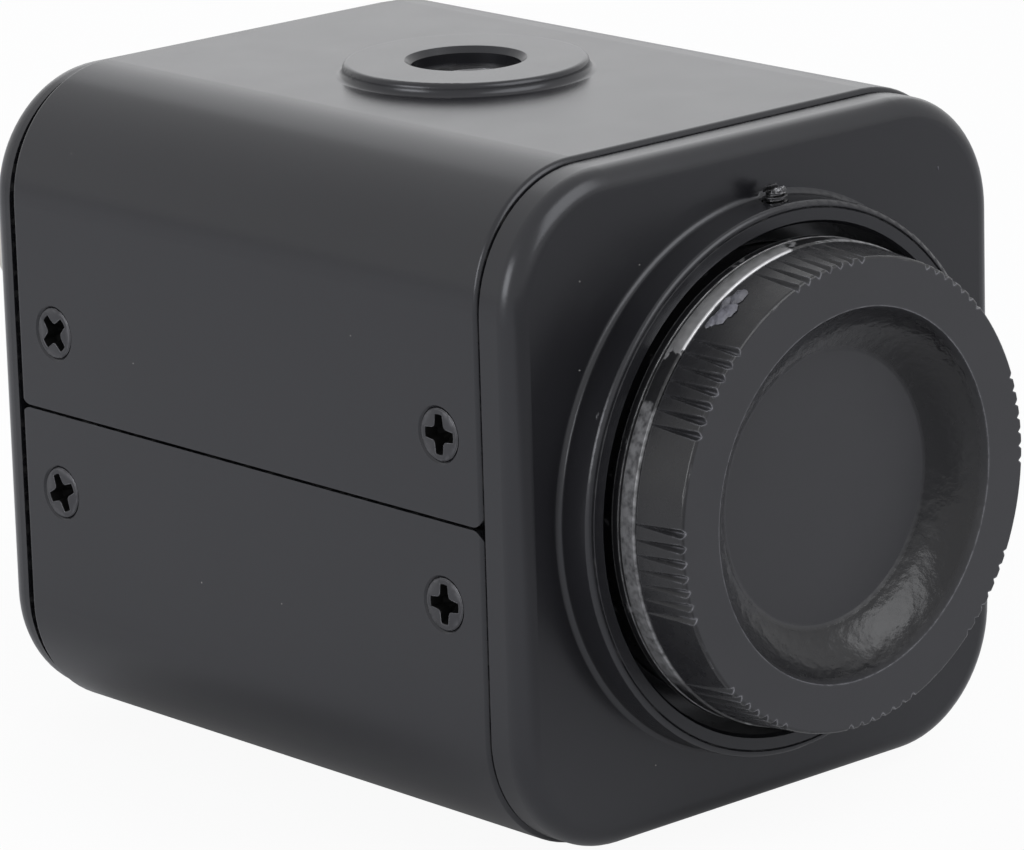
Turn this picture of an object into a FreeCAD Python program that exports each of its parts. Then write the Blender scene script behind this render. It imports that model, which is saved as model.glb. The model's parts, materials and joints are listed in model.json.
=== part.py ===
import FreeCAD, Part

import math
import os

# Cube-shaped machine vision camera with a capped C-mount. Millimetres, +Z up, front towards -Y.
# The origin is the centre of the lower tripod boss's face, which the camera stands on.

# ---------------------------------------------------------------- driving dimensions
# Housing
body_width = 42.0
body_height = 43.7
corner_radius = 8.3
cover_length = 45.0
cover_wall = 1.2
cover_rim_round = 0.35
seam_gap = 0.2
seam_corner = 0.9
end_gap = 0.25
front_plate = 2.95
front_round = 1.4
rear_plate = 2.3
rear_round = 1.8
plate_inset = 0.3
skirt_wall = 1.5
skirt_depth = 7.0
slip_gap = 0.1
root_overlap = 0.5
overrun = 1.0

# Tripod bosses, pressed in both covers, each with a tapped bush behind it
boss_radius = 8.0
boss_height = 0.85
boss_foot_round = 0.5
boss_top_round = 0.35
boss_from_cover_front = 23.6
boss_mouth_radius = 3.6
boss_mouth_chamfer = 0.4
bush_radius = 6.4
bush_length = 5.3
bush_floor = 0.6
bush_thread_radius = 3.175
bush_press_gap = 0.05

# Cover screws, M2 countersunk, and what they screw into
screw_from_cover_end = 3.75
screw_from_seam = 5.4
screw_head_radius = 1.8
screw_radius = 1.0
screw_length = 4.0
screw_turn_start_deg = 20.0
screw_turn_step_deg = 37.0
thread_gap = 0.05
lug_depth = 4.0
lug_half_width = 2.6
recess_length = 2.3
recess_width = 0.5
recess_depth = 0.75

# Lens mount: collar on the front bezel, mount ring in it, dust cap on the ring
lens_drop = 0.12
collar_radius = 17.65
collar_height = 2.6
collar_foot_round = 0.4
collar_edge_round = 0.3
collar_land = 0.95
collar_line_width = 0.14
collar_line_depth = 0.1
well_radius = 16.2
well_bevel = 0.25
well_depth = 1.2
collar_tube_wall = 2.1
collar_tube_depth = 4.8
ring_radius = 15.4
ring_height = 4.24
ring_flange = 1.95
ring_body_radius = 14.4
ring_tail = 4.0
ring_line_depth = 0.25
ring_edge_round = 0.18
running_gap = 0.08
c_mount_radius = 12.7
c_mount_length = 5.4
ring_lip_radius = 11.2
cap_seat_gap = 0.1
cap_rear_radius = 15.3
cap_front_radius = 15.0
cap_front = 8.0
cap_edge_round = 0.22
dish_radius = 11.87
dish_floor_radius = 8.7
dish_depth = 2.75
dish_bulge_height = 0.5
cap_floor = 1.3
cap_plug_wall = 1.45
cap_plug_length = 3.8
groove_groups = 8
grooves_per_group = 7
groove_pitch_deg = 3.65
groove_group_start_deg = 8.0
groove_depth = 0.36
groove_rear_depth = 0.06
groove_width = 0.64
lock_screw_radius = 0.8
lock_screw_height = 1.3
lock_screw_proud = 0.4
lock_screw_slack = 0.3
lock_slot_width = 0.3
lock_slot_depth = 0.45

# Optics and sensor
flange_focal_distance = 17.526
sensor_width = 9.6
sensor_height = 8.2
sensor_depth = 1.3
sensor_die_depth = 0.9
sensor_glass = 0.5
sensor_rim = 0.9
holder_size = 20.0
holder_front = 8.6
holder_wall = 1.4
holder_window = 9.0
filter_size = 12.0
filter_thickness = 0.55
filter_side_gap = 0.15
seal_thickness = 0.5

# Boards and what holds them
board_thickness = 1.6
board_side_gap = 1.3
board_top_gap = 2.15
board_bush_gap = 0.2
board_corner = 5.5
small_board_corner = 1.5
rear_board_from_plate = 8.2
post_from_board_side = 3.5
post_from_board_end = 2.0
post_radius = 2.25
post_thread_depth = 5.0
spacer_across = 4.0
spacer_length = 12.0
spacer_stud = 5.2
pan_head_radius = 1.9
pan_head_height = 1.3
pan_screw_length = 5.0
board_hole_gap = 0.1
header_pins = 5
header_pin_spacing = 2.54
header_base = 2.5
header_z = -11.0
pin_side = 0.64
pin_tail = 1.0
chip_z = 4.0
processor_size = 14.0
processor_height = 1.2
memory_width = 8.0
memory_length = 12.0
memory_height = 1.0

# Rear connectors and controls, placed from the housing's sides, top and bottom
connectors_from_top = 14.35
bnc_from_side = 13.0
bnc_barrel_radius = 4.8
bnc_barrel_length = 9.2
bnc_bore_radius = 4.05
bnc_bore_depth = 8.4
bnc_flange_radius = 6.6
bnc_flange = 1.4
bnc_thread_radius = 4.7
bnc_thread_length = 5.6
bnc_stud_radius = 0.95
bnc_stud_proud = 0.75
bnc_stud_from_end = 4.2
bnc_nut_across = 11.4
bnc_nut = 2.0
bnc_washer = 0.5
bnc_washer_radius = 5.7
bnc_nose_radius = 2.4
bnc_nose_length = 5.0
bnc_contact_radius = 1.1
bnc_contact_bore = 0.5
bnc_tail_radius = 0.5
jack_from_side = 12.5
jack_size = 9.0
jack_bore_radius = 3.05
jack_bore_depth = 7.2
jack_pin_radius = 1.0
jack_pin_length = 6.4
jack_hole_radius = 3.2
jack_leaf_width = 1.6
jack_leaf = 0.3
jack_leaf_from_front = 1.0
led_from_side = 8.6
led_drop = 2.5
led_radius = 1.5
led_length = 4.6
led_proud = 0.5
led_spacer_radius = 1.5
led_spacer_bore = 0.6
buttons_from_bottom = 13.35
button_step = 6.2
button_radius = 1.75
button_proud = 0.7
button_travel = 0.3
button_stop_gap = 0.3
button_gap = 0.12
button_edge_round = 0.3
switch_size = 6.0
switch_height = 3.5
switch_pocket = 1.5

# ---------------------------------------------------------------- places along the axes
face_y = -(boss_from_cover_front + end_gap + front_plate)
front_plate_back = face_y + front_plate
cover_front = front_plate_back + end_gap
cover_back = cover_front + cover_length
rear_plate_front = cover_back + end_gap
rear_face = rear_plate_front + rear_plate
middle_z = boss_height + body_height / 2
plate_height = body_height - 2 * plate_inset
ring_front = face_y - ring_height
sensor_plane = ring_front + flange_focal_distance
sensor_board_y = sensor_plane + sensor_die_depth
main_board_y = sensor_board_y + board_thickness + spacer_length
rear_board_back = rear_plate_front - rear_board_from_plate
rear_board_y = rear_board_back - board_thickness
skirt_half_width = body_width / 2 - cover_wall - slip_gap
bush_low = body_height / 2 + boss_height - cover_wall - bush_length
board_width = body_width - 2 * (cover_wall + board_side_gap)
sensor_board_height = body_height - 2 * (cover_wall + board_top_gap)
main_board_height = 2 * (bush_low - board_bush_gap)
post_x = board_width / 2 - post_from_board_side
post_z = main_board_height / 2 - post_from_board_end
post_places = [(x, z) for z in (-post_z, post_z) for x in (-post_x, post_x)]
front_screw_y = cover_front + screw_from_cover_end
rear_screw_y = cover_back - screw_from_cover_end
chip_y = main_board_y + board_thickness
glass_y = sensor_board_y - sensor_depth
filter_y = face_y + holder_front + holder_wall
bnc_end = rear_face + bnc_flange + bnc_barrel_length
bnc_bore_end = bnc_end - bnc_bore_depth
bnc_neck_end = rear_face - bnc_thread_length
washer_y = rear_plate_front - bnc_washer
jack_front = rear_plate_front - slip_gap
jack_floor = jack_front - jack_bore_depth
led_end = rear_face + led_proud
led_seat = led_end - led_length
bnc_x = bnc_from_side - body_width / 2
bnc_z = body_height / 2 - connectors_from_top
jack_x = body_width / 2 - jack_from_side
jack_z = bnc_z
led_x = body_width / 2 - led_from_side
led_z = -led_drop
button_z = buttons_from_bottom - body_height / 2
lens_z = -lens_drop

ALONG_Y = FreeCAD.Vector(0, 1, 0)
MIDDLE = FreeCAD.Vector(0, 0, middle_z)
LENS_AXIS = FreeCAD.Vector(0, 0, middle_z + lens_z)


# ---------------------------------------------------------------- shared shapes
def save(name, *solids):
    shape = solids[0] if len(solids) == 1 else Part.makeCompound(list(solids))
    shape.exportStep("parts/" + name + ".step")


def place(x, y, z):
    """Point given from the housing's middle line, with y in the camera's own frame."""
    return FreeCAD.Vector(x, y, middle_z + z)


def rod(x, z, radius, y0, y1):
    """Round bar along Y between y0 and y1."""
    return Part.makeCylinder(radius, y1 - y0, place(x, y0, z), ALONG_Y)


def block(x, z, width, height, y0, y1):
    """Rectangular bar along Y, centred on x and z."""
    return Part.makeBox(width, y1 - y0, height, place(x - width / 2, y0, z - height / 2))


def rounded_bar(width, height, radius, y0, y1):
    """Bar along Y with a rounded rectangle for a section, centred in the housing."""
    bar = block(0, 0, width, height, y0, y1)
    corners = [e for e in bar.Edges if abs(e.tangentAt(e.FirstParameter).y) > 0.99]
    return bar.makeFillet(radius, corners)


def turned(points, x=0.0, z=0.0):
    """Solid of revolution about a line along Y, from (radius, y) points and three-point arcs."""
    edges = []
    corner = [FreeCAD.Vector(p[0], p[1], 0) for p in points]
    count = len(points)
    step = 0
    while step < count:
        if len(points[(step + 1) % count]) == 3:
            arc = Part.Arc(corner[step], corner[(step + 1) % count], corner[(step + 2) % count])
            edges.append(arc.toShape())
            step += 2
        else:
            edges.append(Part.makeLine(corner[step], corner[(step + 1) % count]))
            step += 1
    face = Part.Face(Part.Wire(edges))
    solid = face.revolve(FreeCAD.Vector(0, 0, 0), ALONG_Y, 360)
    solid.translate(place(x, 0, z))
    return solid


def arc_middle(r0, y0, r1, y1, centre_r, centre_y):
    """Middle point of the arc from (r0, y0) to (r1, y1) about a centre, marked as an arc point."""
    radius = math.hypot(r0 - centre_r, y0 - centre_y)
    mid_r = (r0 + r1) / 2 - centre_r
    mid_y = (y0 + y1) / 2 - centre_y
    scale = radius / math.hypot(mid_r, mid_y)
    return (centre_r + mid_r * scale, centre_y + mid_y * scale, "arc")


def hexagon(x, z, across, y0, y1):
    """Hexagonal bar along Y."""
    reach = across / math.sqrt(3)
    points = [
        place(x + reach * math.cos(math.radians(a)), y0, z + reach * math.sin(math.radians(a)))
        for a in range(0, 361, 60)
    ]
    return Part.Face(Part.makePolygon(points)).extrude(FreeCAD.Vector(0, y1 - y0, 0))


def cross_recess(length, width, depth):
    """Cross for a screwdriver, cut down from z = 0, with wings that taper to the middle."""
    wings = []
    for turn in (0, 90):
        outline = [(-length / 2, 0), (length / 2, 0), (width / 2, -depth), (-width / 2, -depth)]
        points = [FreeCAD.Vector(u, -width / 2, w) for u, w in outline]
        points.append(points[0])
        wing = Part.Face(Part.makePolygon(points)).extrude(FreeCAD.Vector(0, width, 0))
        wing.rotate(FreeCAD.Vector(0, 0, 0), FreeCAD.Vector(0, 0, 1), turn)
        wings.append(wing)
    return wings[0].fuse(wings[1])


def countersunk_screw():
    """M2 countersunk screw, its head's top at z = 0 and its shank down -Z."""
    cone = screw_head_radius - screw_radius
    head = Part.makeCone(screw_radius, screw_head_radius, cone, FreeCAD.Vector(0, 0, -cone))
    shank = Part.makeCylinder(screw_radius, screw_length - cone, FreeCAD.Vector(0, 0, -screw_length))
    screw = head.fuse(shank).removeSplitter()
    return screw.cut(cross_recess(recess_length, recess_width, recess_depth))


def pan_screw():
    """M2 pan-head screw, its head's seat at z = 0, its shank down -Z and its head above."""
    head = Part.makeCylinder(pan_head_radius, pan_head_height)
    rim = [e for e in head.Edges if e.BoundBox.ZMin > pan_head_height / 2]
    head = head.makeChamfer(pan_head_height / 3, rim)
    shank = Part.makeCylinder(screw_radius, pan_screw_length, FreeCAD.Vector(0, 0, -pan_screw_length))
    recess = cross_recess(recess_length, recess_width, recess_depth)
    recess.translate(FreeCAD.Vector(0, 0, pan_head_height))
    return head.fuse(shank).removeSplitter().cut(recess)


def aim(solid, direction, position):
    """Turn a screw from +Z to a direction and put its origin at a position."""
    solid.Placement = FreeCAD.Placement(position, FreeCAD.Rotation(FreeCAD.Vector(0, 0, 1), direction))
    return solid


def skirt(y0, y1):
    """Wall of an end plate that the covers close around."""
    wide = 2 * skirt_half_width
    high = body_height - 2 * (cover_wall + slip_gap)
    radius = corner_radius - cover_wall - slip_gap
    outer = rounded_bar(wide, high, radius, y0, y1)
    inner = rounded_bar(wide - 2 * skirt_wall, high - 2 * skirt_wall, radius - skirt_wall, y0, y1)
    return outer.cut(inner)


def side_lugs(y0, y1):
    """Blocks inside a skirt that the cover screws reach, above and below the seam on each side."""
    lugs = []
    for side in (-1, 1):
        for level in (-screw_from_seam, screw_from_seam):
            middle = side * (skirt_half_width - lug_depth / 2)
            lugs.append(block(middle, level, lug_depth, 2 * lug_half_width, y0, y1))
    return lugs


def side_screw_places(y):
    """Cover screw seats at one end of the covers: point on the cover's side, and its outward side."""
    return [
        (place(side * body_width / 2, y, level), side)
        for side in (-1, 1)
        for level in (-screw_from_seam, screw_from_seam)
    ]


def drill_for_side_screws(solid, y):
    """Tapped holes for the cover screws, right through the lugs."""
    for point, side in side_screw_places(y):
        depth = cover_wall + slip_gap + lug_depth + slip_gap
        inward = FreeCAD.Vector(-side, 0, 0)
        solid = solid.cut(Part.makeCylinder(screw_radius + thread_gap, depth, point, inward))
    return solid


# ---------------------------------------------------------------- covers
def cover():
    """Upper half of the housing: a deep channel with a pressed tripod boss."""
    outer = rounded_bar(body_width, body_height, corner_radius, cover_front, cover_back)
    half = block(0, (body_height + seam_gap) / 4, body_width + 2 * overrun, (body_height - seam_gap) / 2,
                 cover_front, cover_back)
    shell = outer.common(half)
    rims = [
        e for e in shell.Edges
        if e.BoundBox.YLength < 0.01 and e.BoundBox.ZMax > middle_z + seam_gap
    ]
    shell = shell.makeFillet(cover_rim_round, rims)

    # Base of the boss, flared into the cover's top and softly rounded at its own top
    top = body_height / 2
    boss = turned_up([
        (0, top - cover_wall / 2),
        (boss_radius + boss_foot_round, top - cover_wall / 2),
        (boss_radius + boss_foot_round, top),
        arc_middle(boss_radius + boss_foot_round, top, boss_radius, top + boss_foot_round,
                   boss_radius + boss_foot_round, top + boss_foot_round),
        (boss_radius, top + boss_foot_round),
        arc_middle(boss_radius, top + boss_height - boss_top_round, boss_radius - boss_top_round,
                   top + boss_height, boss_radius - boss_top_round, top + boss_height - boss_top_round),
        (boss_radius - boss_top_round, top + boss_height),
        (0, top + boss_height),
    ])
    shell = shell.fuse(boss)

    inner_radius = corner_radius - cover_wall
    hollow = rounded_bar(body_width - 2 * cover_wall, body_height - 2 * cover_wall, inner_radius,
                         cover_front - overrun, cover_back + overrun)
    shell = shell.cut(hollow)
    pocket = Part.makeCylinder(bush_radius + bush_press_gap, boss_height,
                               place(0, 0, top - cover_wall))
    mouth = Part.makeCylinder(boss_mouth_radius, 2 * cover_wall,
                              place(0, 0, top + boss_height - 2 * cover_wall))
    flare = Part.makeCone(boss_mouth_radius, boss_mouth_radius + boss_mouth_chamfer, boss_mouth_chamfer,
                          place(0, 0, top + boss_height - boss_mouth_chamfer))
    shell = shell.cut(pocket).cut(mouth).cut(flare)

    # Rounded corners where the seam meets the ends
    for y, inward in ((cover_front, 1), (cover_back, -1)):
        centre_y = y + inward * seam_corner
        square = Part.makeBox(body_width, seam_corner, seam_corner,
                              place(-body_width / 2, min(y, centre_y), seam_gap / 2))
        round_bar = Part.makeCylinder(seam_corner, body_width,
                                      place(-body_width / 2, centre_y, seam_gap / 2 + seam_corner),
                                      FreeCAD.Vector(1, 0, 0))
        shell = shell.cut(square.cut(round_bar))

    # Countersunk screw seats
    depth = screw_head_radius - screw_radius
    hole_radius = screw_radius + thread_gap
    for y in (front_screw_y, rear_screw_y):
        for side in (-1, 1):
            seat = place(side * body_width / 2, y, screw_from_seam)
            inward = FreeCAD.Vector(-side, 0, 0)
            cone = Part.makeCone(screw_head_radius + thread_gap, hole_radius, depth, seat, inward)
            hole = Part.makeCylinder(hole_radius, 2 * cover_wall, seat, inward)
            shell = shell.cut(cone).cut(hole)
    return shell


def turned_up(points):
    """Solid of revolution about a vertical line through the tripod boss, from (radius, height) points."""
    solid = turned(points)
    solid.translate(-MIDDLE)
    solid.rotate(FreeCAD.Vector(0, 0, 0), FreeCAD.Vector(1, 0, 0), 90)
    solid.translate(MIDDLE)
    return solid


def tripod_bush():
    """Tapped bush behind the upper boss, seated in the pressing's pocket."""
    body = Part.makeCylinder(bush_radius, bush_length, place(0, 0, bush_low))
    thread = Part.makeCylinder(bush_thread_radius, bush_length, place(0, 0, bush_low + bush_floor))
    return body.cut(thread)


def turned_over(solid):
    """The same piece turned half a turn about the housing's middle line."""
    copy = solid.copy()
    copy.rotate(MIDDLE, ALONG_Y, 180)
    return copy


upper_cover = cover()
save("upper_cover", upper_cover)
save("lower_cover", turned_over(upper_cover))
upper_bush = tripod_bush()
save("upper_tripod_bush", upper_bush)
save("lower_tripod_bush", turned_over(upper_bush))


# ---------------------------------------------------------------- front bezel with the lens collar
def end_plate(y0, y1, outside_y, edge_round):
    """Plate that closes one end, its outside edge rounded over."""
    plate = rounded_bar(body_width, plate_height, corner_radius, y0, y1)
    rim = [e for e in plate.Edges if abs(e.BoundBox.YMin - outside_y) < 1e-6 and e.BoundBox.YLength < 1e-6]
    return plate.makeFillet(edge_round, rim)


def collar_profile():
    """Collar's section as (radius, y): rounded foot, well with a bevelled mouth, tube behind."""
    front = face_y - collar_height
    foot = collar_radius + collar_foot_round
    foot_y = face_y - collar_foot_round
    edge = collar_radius - collar_edge_round
    line_out = edge - collar_line_width / 2
    line_in = line_out - collar_line_width
    land_in = edge - collar_land
    bevel_y = front + well_bevel
    bore = ring_body_radius + running_gap
    tube = bore + collar_tube_wall
    return [
        (foot, front_plate_back),
        (foot, face_y),
        arc_middle(foot, face_y, collar_radius, foot_y, foot, foot_y),
        (collar_radius, foot_y),
        (collar_radius, front + collar_edge_round),
        arc_middle(collar_radius, front + collar_edge_round, edge, front, edge, front + collar_edge_round),
        (edge, front),
        (line_out, front),
        ((line_out + line_in) / 2, front + collar_line_depth),
        (line_in, front),
        (land_in, front),
        (well_radius, bevel_y),
        (well_radius, face_y + well_depth),
        (bore, face_y + well_depth),
        (bore, face_y + collar_tube_depth),
        (tube, face_y + collar_tube_depth),
        (tube, front_plate_back),
    ]


def front_bezel():
    """Front casting: plate, collar, skirt, screw lugs and sensor board posts in one piece."""
    plate = end_plate(face_y, front_plate_back, face_y, front_round)
    root = front_plate_back - root_overlap
    skirt_end = cover_front + skirt_depth
    bezel = plate.fuse([skirt(root, skirt_end)] + side_lugs(root, skirt_end))
    bezel = bezel.fuse([rod(x, z, post_radius, root, sensor_board_y) for x, z in post_places])
    bore = collar_radius - collar_edge_round
    bezel = bezel.cut(rod(0, lens_z, bore, face_y - overrun, face_y + collar_tube_depth))
    bezel = bezel.fuse(turned(collar_profile(), 0, lens_z)).removeSplitter()
    thread_start = sensor_board_y - post_thread_depth
    for x, z in post_places:
        bezel = bezel.cut(rod(x, z, screw_radius + thread_gap, thread_start, sensor_board_y))
    lock_hole = Part.makeCylinder(lock_screw_radius + thread_gap, collar_radius,
                                  place(0, face_y - lock_screw_height, lens_z + ring_body_radius))
    return drill_for_side_screws(bezel.cut(lock_hole), front_screw_y)


save("front_bezel", front_bezel())


def lock_screw():
    """Slotted set screw for the mount ring, radial, at the top of the collar, slackened off."""
    low = lens_z + well_radius + lock_screw_slack
    high = lens_z + collar_radius + lock_screw_proud
    y = face_y - lock_screw_height
    body = Part.makeCylinder(lock_screw_radius, high - low, place(0, y, low))
    slot = Part.makeBox(lock_screw_radius * 4, lock_slot_width, lock_slot_depth,
                        place(-2 * lock_screw_radius, y - lock_slot_width / 2, high - lock_slot_depth))
    return body.cut(slot)


save("mount_lock_screw", lock_screw())


# ---------------------------------------------------------------- mount ring and dust cap
def mount_ring():
    """Back-focus ring: a flange with a turned line, a threaded body and the C-mount bore."""
    flange_back = ring_front + ring_flange
    line_y = flange_back - ring_flange / 3
    mouth = c_mount_radius + ring_line_depth
    front_edge = ring_radius - ring_edge_round
    return turned([
        (mouth, ring_front),
        (front_edge, ring_front),
        arc_middle(front_edge, ring_front, ring_radius, ring_front + ring_edge_round,
                   front_edge, ring_front + ring_edge_round),
        (ring_radius, ring_front + ring_edge_round),
        (ring_radius, line_y - ring_line_depth / 2),
        (ring_radius - ring_line_depth, line_y),
        (ring_radius, line_y + ring_line_depth / 2),
        (ring_radius, flange_back),
        (ring_body_radius, flange_back),
        (ring_body_radius, face_y + ring_tail),
        (ring_lip_radius, face_y + ring_tail),
        (ring_lip_radius, ring_front + c_mount_length),
        (c_mount_radius, ring_front + c_mount_length),
        (c_mount_radius, ring_front + ring_line_depth),
    ], 0, lens_z)


save("mount_ring", mount_ring())


def dust_cap():
    """Moulded cap: dished front, grooved grip and a threaded plug that fills the C-mount."""
    front = face_y - cap_front
    back = ring_front - cap_seat_gap
    plug = c_mount_radius - running_gap
    plug_end = back + cap_plug_length
    floor = front + dish_depth
    inner = plug - cap_plug_wall
    edge = cap_front_radius - cap_edge_round
    chord_r = (dish_radius + dish_floor_radius) / 2
    chord_y = (front + floor) / 2
    slope = math.hypot(dish_radius - dish_floor_radius, dish_depth)
    bulge = (chord_r + dish_bulge_height * dish_depth / slope,
             chord_y + dish_bulge_height * (dish_radius - dish_floor_radius) / slope, "arc")
    cap = turned([
        (0, floor),
        (dish_floor_radius, floor),
        bulge,
        (dish_radius, front),
        (edge, front),
        arc_middle(edge, front, cap_front_radius, front + cap_edge_round, edge, front + cap_edge_round),
        (cap_front_radius, front + cap_edge_round),
        (cap_rear_radius, back),
        (plug, back),
        (plug, plug_end),
        (inner, plug_end),
        (inner, floor + cap_floor),
        (0, floor + cap_floor),
    ], 0, lens_z)
    grooves = []
    for group in range(groove_groups):
        middle = groove_group_start_deg + group * 360 / groove_groups
        for index in range(grooves_per_group):
            turn = middle + (index - (grooves_per_group - 1) / 2) * groove_pitch_deg
            grooves.append(grip_groove(turn, front, back))
    return cap.cut(grooves)


def grip_groove(turn, y0, y1):
    """V-shaped cutter for one axial groove, deeper at the cap's front than at its back."""
    slope = groove_width / 2 / groove_depth
    top = cap_rear_radius + groove_depth
    ends = []
    sections = ((y0, cap_front_radius - groove_depth), (y1, cap_rear_radius - groove_rear_depth))
    for y, root in sections:
        half = slope * (top - root)
        outline = [(root, 0), (top, half), (top, -half), (root, 0)]
        ends.append(Part.makePolygon([FreeCAD.Vector(r, y, w) for r, w in outline]))
    cutter = Part.makeLoft(ends, True, True)
    cutter.rotate(FreeCAD.Vector(0, 0, 0), ALONG_Y, -turn)
    cutter.translate(LENS_AXIS)
    return cutter


save("dust_cap", dust_cap())


# ---------------------------------------------------------------- rear panel
button_places = {
    "menu": (0, button_z),
    "up": (0, button_z + button_step),
    "down": (0, button_z - button_step),
    "left": (button_step, button_z),
    "right": (-button_step, button_z),
}


def rear_panel():
    """Rear casting: plate, skirt, screw lugs and rear board posts, pierced for what it carries."""
    plate = end_plate(rear_plate_front, rear_face, rear_face, rear_round)
    skirt_end = cover_back - skirt_depth
    root = rear_plate_front + root_overlap
    panel = plate.fuse([skirt(skirt_end, root)] + side_lugs(skirt_end, root))
    panel = panel.fuse([rod(x, z, post_radius, rear_board_back, root) for x, z in post_places])
    panel = panel.removeSplitter()
    holes = [rod(bnc_x, bnc_z, bnc_thread_radius + thread_gap, rear_plate_front, rear_face)]
    holes.append(rod(jack_x, jack_z, jack_hole_radius, rear_plate_front, rear_face))
    holes.append(rod(led_x, led_z, led_radius + board_hole_gap, rear_plate_front, rear_face))
    for x, z in button_places.values():
        holes.append(rod(x, z, button_radius + button_gap, rear_plate_front, rear_face))
    thread_end = rear_board_back + post_thread_depth
    for x, z in post_places:
        holes.append(rod(x, z, screw_radius + thread_gap, rear_board_back, thread_end))
    return drill_for_side_screws(panel.cut(holes), rear_screw_y)


save("rear_panel", rear_panel())


# ---------------------------------------------------------------- cover screws
def cover_screws():
    """The eight countersunk screws of both covers, each turned differently."""
    screws = []
    places = side_screw_places(front_screw_y) + side_screw_places(rear_screw_y)
    for index, (point, side) in enumerate(places):
        screw = countersunk_screw()
        turn = screw_turn_start_deg + index * screw_turn_step_deg
        screw.rotate(FreeCAD.Vector(0, 0, 0), FreeCAD.Vector(0, 0, 1), turn)
        outward = FreeCAD.Rotation(FreeCAD.Vector(0, 0, 1), FreeCAD.Vector(side, 0, 0))
        screw.Placement = FreeCAD.Placement(point, outward).multiply(screw.Placement)
        screws.append(screw)
    return screws


save("cover_screws", *cover_screws())


# ---------------------------------------------------------------- boards and their fixings
def board(height, corner, y0):
    """Circuit board with rounded corners and a clearance hole at each post."""
    y1 = y0 + board_thickness
    plate = rounded_bar(board_width, height, corner, y0, y1)
    return plate.cut([rod(x, z, screw_radius + board_hole_gap, y0, y1) for x, z in post_places])


save("sensor_board", board(sensor_board_height, board_corner, sensor_board_y))
save("main_board", board(main_board_height, small_board_corner, main_board_y))
save("rear_board", board(main_board_height, small_board_corner, rear_board_y))


def board_spacer(x, z):
    """Hexagonal spacer: its stud goes through the sensor board into a post, its back is tapped."""
    front = sensor_board_y + board_thickness
    back = front + spacer_length
    spacer = hexagon(x, z, spacer_across, front, back)
    spacer = spacer.fuse(rod(x, z, screw_radius, front - spacer_stud, front))
    return spacer.cut(rod(x, z, screw_radius + thread_gap, back - post_thread_depth, back))


save("board_spacers", *[board_spacer(x, z) for x, z in post_places])


def board_screws(seat_y, direction):
    """Pan-head screws at the four posts, their heads on one side of a board."""
    return [aim(pan_screw(), direction, place(x, seat_y, z)) for x, z in post_places]


save("main_board_screws", *board_screws(main_board_y + board_thickness, FreeCAD.Vector(0, 1, 0)))
save("rear_board_screws", *board_screws(rear_board_y, FreeCAD.Vector(0, -1, 0)))


def board_link(name, front_y, back_y):
    """Pin header on one board and the socket that takes it on the next, in three nodes."""
    width = header_pins * header_pin_spacing
    spots = [
        ((column - (header_pins - 1) / 2) * header_pin_spacing, header_z + row * header_pin_spacing)
        for column in range(header_pins)
        for row in (-0.5, 0.5)
    ]
    base_end = front_y + header_base
    pin_hole = pin_side + board_hole_gap
    base = block(0, header_z, width, 2 * header_pin_spacing, front_y, base_end)
    base = base.cut([block(x, z, pin_side, pin_side, front_y, base_end) for x, z in spots])
    socket = block(0, header_z, width, 2 * header_pin_spacing, base_end, back_y)
    pin_end = (base_end + back_y) / 2
    socket = socket.cut([block(x, z, pin_hole, pin_hole, base_end, pin_end + pin_tail) for x, z in spots])
    save(name + "_header", base)
    save(name + "_socket", socket)
    save(name + "_pins", *[block(x, z, pin_side, pin_side, front_y, pin_end) for x, z in spots])


board_link("sensor_link", sensor_board_y + board_thickness, main_board_y)
board_link("rear_link", main_board_y + board_thickness, rear_board_y)

save("processor", block(0, chip_z, processor_size, processor_size, chip_y, chip_y + processor_height))
memory_y = main_board_y - memory_height
save("memory_chip", block(0, chip_z, memory_width, memory_length, memory_y, main_board_y))


# ---------------------------------------------------------------- sensor, its holder and the filter
def image_sensor():
    """Ceramic sensor package with a shallow well over the die, ending at the cover glass's seat."""
    body = block(0, lens_z, sensor_width, sensor_height, glass_y, sensor_board_y)
    well = block(0, lens_z, sensor_width - 2 * sensor_rim, sensor_height - 2 * sensor_rim,
                 glass_y, sensor_plane)
    return body.cut(well)


save("image_sensor", image_sensor())
save("sensor_glass", block(0, lens_z, sensor_width, sensor_height, glass_y - sensor_glass, glass_y))


def sensor_holder():
    """Moulded box over the sensor, with a seat for the filter behind its front window."""
    front = face_y + holder_front
    outer = block(0, lens_z, holder_size, holder_size, front, sensor_board_y)
    inner = holder_size - 2 * holder_wall
    seat = front + holder_wall
    cavity = block(0, lens_z, inner, inner, seat + holder_wall, sensor_board_y)
    window = block(0, lens_z, holder_window, holder_window, front, seat + holder_wall)
    filter_room = filter_size + 2 * filter_side_gap
    filter_seat = block(0, lens_z, filter_room, filter_room, seat, seat + holder_wall)
    return outer.cut([cavity, window, filter_seat])


save("sensor_holder", sensor_holder())
save("infrared_filter", block(0, lens_z, filter_size, filter_size, filter_y, filter_y + filter_thickness))


def filter_seal():
    """Square rubber frame that keeps the filter in its seat."""
    start = filter_y + filter_thickness
    frame = block(0, lens_z, filter_size, filter_size, start, start + seal_thickness)
    return frame.cut(block(0, lens_z, holder_window, holder_window, start, start + seal_thickness))


save("filter_seal", filter_seal())


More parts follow.
